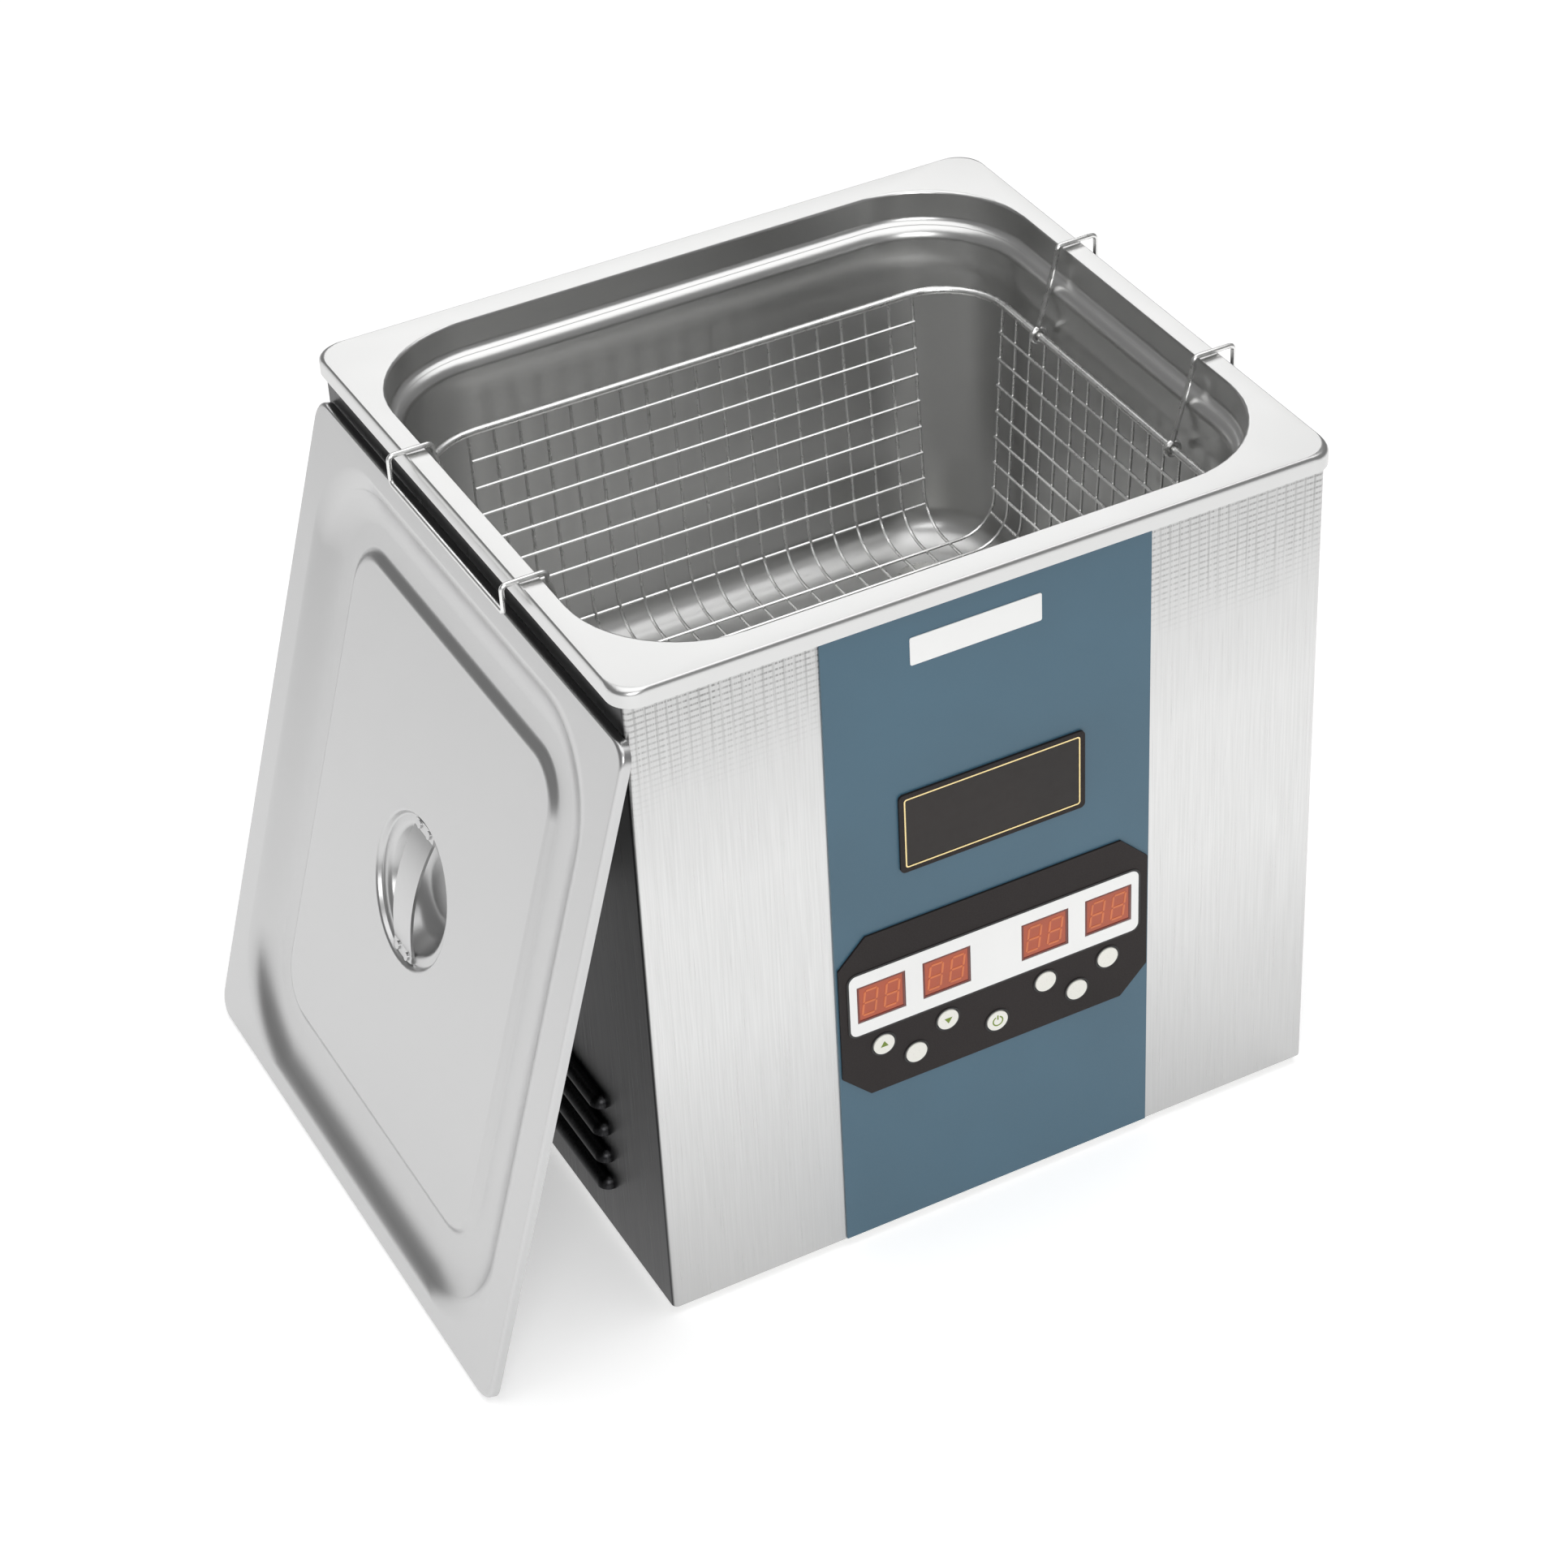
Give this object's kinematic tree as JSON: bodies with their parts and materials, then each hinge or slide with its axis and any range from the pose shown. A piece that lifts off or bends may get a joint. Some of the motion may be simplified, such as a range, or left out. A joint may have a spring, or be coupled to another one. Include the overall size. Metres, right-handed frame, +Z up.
{
  "type": "ultrasonic water bath",
  "caption": "Bench ultrasonic water bath: pressed steel tank in a sheet steel housing, blue control front, hanging wire basket and a lid leaning on the left side.",
  "frame": {"origin": "bottom centre of the whole set's bounding box, the leaning lid and the drain valve included, on the floor", "axes": "+X to the housing's right side, +Y to its rear, +Z up out of the tank"},
  "size_m": [0.5146, 0.3376, 0.365],
  "materials": {
    "brushed_steel": "vertical brushed grain",
    "rear_steel": "satin sheet",
    "tank_steel": "bright pressed stainless",
    "lid_steel": "satin pressed stainless",
    "wire_steel": "drawn stainless wire",
    "blue_paint": "satin blue powder coat",
    "white_plate": "smooth printed film",
    "dark_overlay": "fine satin film",
    "gold_line": "thin polished line",
    "window": "dark glossy window",
    "led_red": "red filter over segments",
    "key_white": "smooth moulded key",
    "board": "solder mask",
    "black_plastic": "moulded",
    "spacers": "natural nylon",
    "foot_rubber": "moulded rubber",
    "plated_steel": "zinc plated or plain stainless",
    "horn_aluminium": "turned",
    "piezo": "fired",
    "heater": "silicone mat",
    "ferrite": "taped windings",
    "brass_parts": "plain or nickelled brass"
  },
  "bodies": {
    "housing": {"housing_wrap": "brushed_steel", "rear_panel": "rear_steel", "base_plate": "rear_steel", "feet": "foot_rubber", "foot_screws": "plated_steel", "tank": "tank_steel", "front_panel": "blue_paint", "name_plate": "white_plate", "lcd_bezel": "dark_overlay", "lcd_trim": "gold_line", "lcd_window": "window", "lcd_module": "black_plastic", "control_panel": "dark_overlay", "display_strip": "white_plate", "led_displays": "led_red", "circuit_boards": "board", "board_spacers": "spacers", "tact_switches": "black_plastic", "transducer_horns": "horn_aluminium", "transducer_ceramics": "piezo", "transducer_masses": "plated_steel", "transducer_bolts": "plated_steel", "heater_pads": "heater", "temperature_sensor": "brass_parts", "generator_heatsink": "horn_aluminium", "output_transformer": "ferrite", "drain_strainer": "plated_steel", "drain_fitting": "plated_steel", "drain_pipe": "plated_steel", "pipe_nut": "plated_steel", "valve_body": "brass_parts", "fan_frame": "black_plastic", "fan_guard": "plated_steel", "rear_screws": "plated_steel", "mains_inlet": "black_plastic", "inlet_pins": "brass_parts", "fuse_holder": "black_plastic", "rocker_housing": "black_plastic"},
    "basket": {"basket_rim": "wire_steel", "basket_long_walls": "wire_steel", "basket_short_walls": "wire_steel", "basket_floor": "wire_steel"},
    "bail_left": {"bail_left": "wire_steel"},
    "bail_right": {"bail_right": "wire_steel"},
    "lid": {"lid_shell": "lid_steel", "lid_handle": "lid_steel", "lid_rivets": "lid_steel"},
    "drain_handle": {"valve_ball": "brass_parts", "valve_stem": "plated_steel", "valve_lever": "plated_steel", "lever_nut": "plated_steel"},
    "fan": {"fan_rotor": "black_plastic"},
    "rocker": {"power_rocker": "black_plastic"},
    "button_up": {"button_up": "key_white"},
    "button_set": {"button_set": "key_white"},
    "button_down": {"button_down": "key_white"},
    "button_power": {"button_power": "key_white"},
    "button_heat": {"button_heat": "key_white"},
    "button_mode": {"button_mode": "key_white"},
    "button_pulse": {"button_pulse": "key_white"}
  },
  "joints": [
    {"name": "basket_lift", "type": "slide", "parent": "housing", "child": "basket", "axis": [0, 0, 1], "range_m": [0, 0.25]},
    {"name": "bail_left_swing", "type": "hinge", "parent": "basket", "child": "bail_left", "pos_m": [-0.13572, -0.0054, 0.318], "axis": [0, 1, 0], "range_deg": [0, 8]},
    {"name": "bail_right_swing", "type": "hinge", "parent": "basket", "child": "bail_right", "pos_m": [0.17228, -0.0054, 0.318], "axis": [0, -1, 0], "range_deg": [0, 8]},
    {"name": "lid_away", "type": "slide", "parent": "housing", "child": "lid", "axis": [-0.9617, 0, 0.274], "range_m": [0, 0.2]},
    {"name": "drain_turn", "type": "hinge", "parent": "housing", "child": "drain_handle", "pos_m": [0.21629, 0.1006, 0.055], "axis": [0, 0, 1], "range_deg": [0, 90]},
    {"name": "fan_spin", "type": "hinge", "parent": "housing", "child": "fan", "pos_m": [-0.06171, 0.1356, 0.063], "axis": [0, 1, 0], "continuous": true},
    {"name": "rocker_tip", "type": "hinge", "parent": "housing", "child": "rocker", "pos_m": [0.03828, 0.1583, 0.061], "axis": [1, 0, 0], "range_deg": [0, 14]},
    {"name": "button_up_press", "type": "slide", "parent": "housing", "child": "button_up", "axis": [0, 1, 0], "range_m": [0, 0.0006], "stiffness_N_per_m": 400},
    {"name": "button_set_press", "type": "slide", "parent": "housing", "child": "button_set", "axis": [0, 1, 0], "range_m": [0, 0.0006], "stiffness_N_per_m": 400},
    {"name": "button_down_press", "type": "slide", "parent": "housing", "child": "button_down", "axis": [0, 1, 0], "range_m": [0, 0.0006], "stiffness_N_per_m": 400},
    {"name": "button_power_press", "type": "slide", "parent": "housing", "child": "button_power", "axis": [0, 1, 0], "range_m": [0, 0.0006], "stiffness_N_per_m": 400},
    {"name": "button_heat_press", "type": "slide", "parent": "housing", "child": "button_heat", "axis": [0, 1, 0], "range_m": [0, 0.0006], "stiffness_N_per_m": 400},
    {"name": "button_mode_press", "type": "slide", "parent": "housing", "child": "button_mode", "axis": [0, 1, 0], "range_m": [0, 0.0006], "stiffness_N_per_m": 400},
    {"name": "button_pulse_press", "type": "slide", "parent": "housing", "child": "button_pulse", "axis": [0, 1, 0], "range_m": [0, 0.0006], "stiffness_N_per_m": 400}
  ]
}
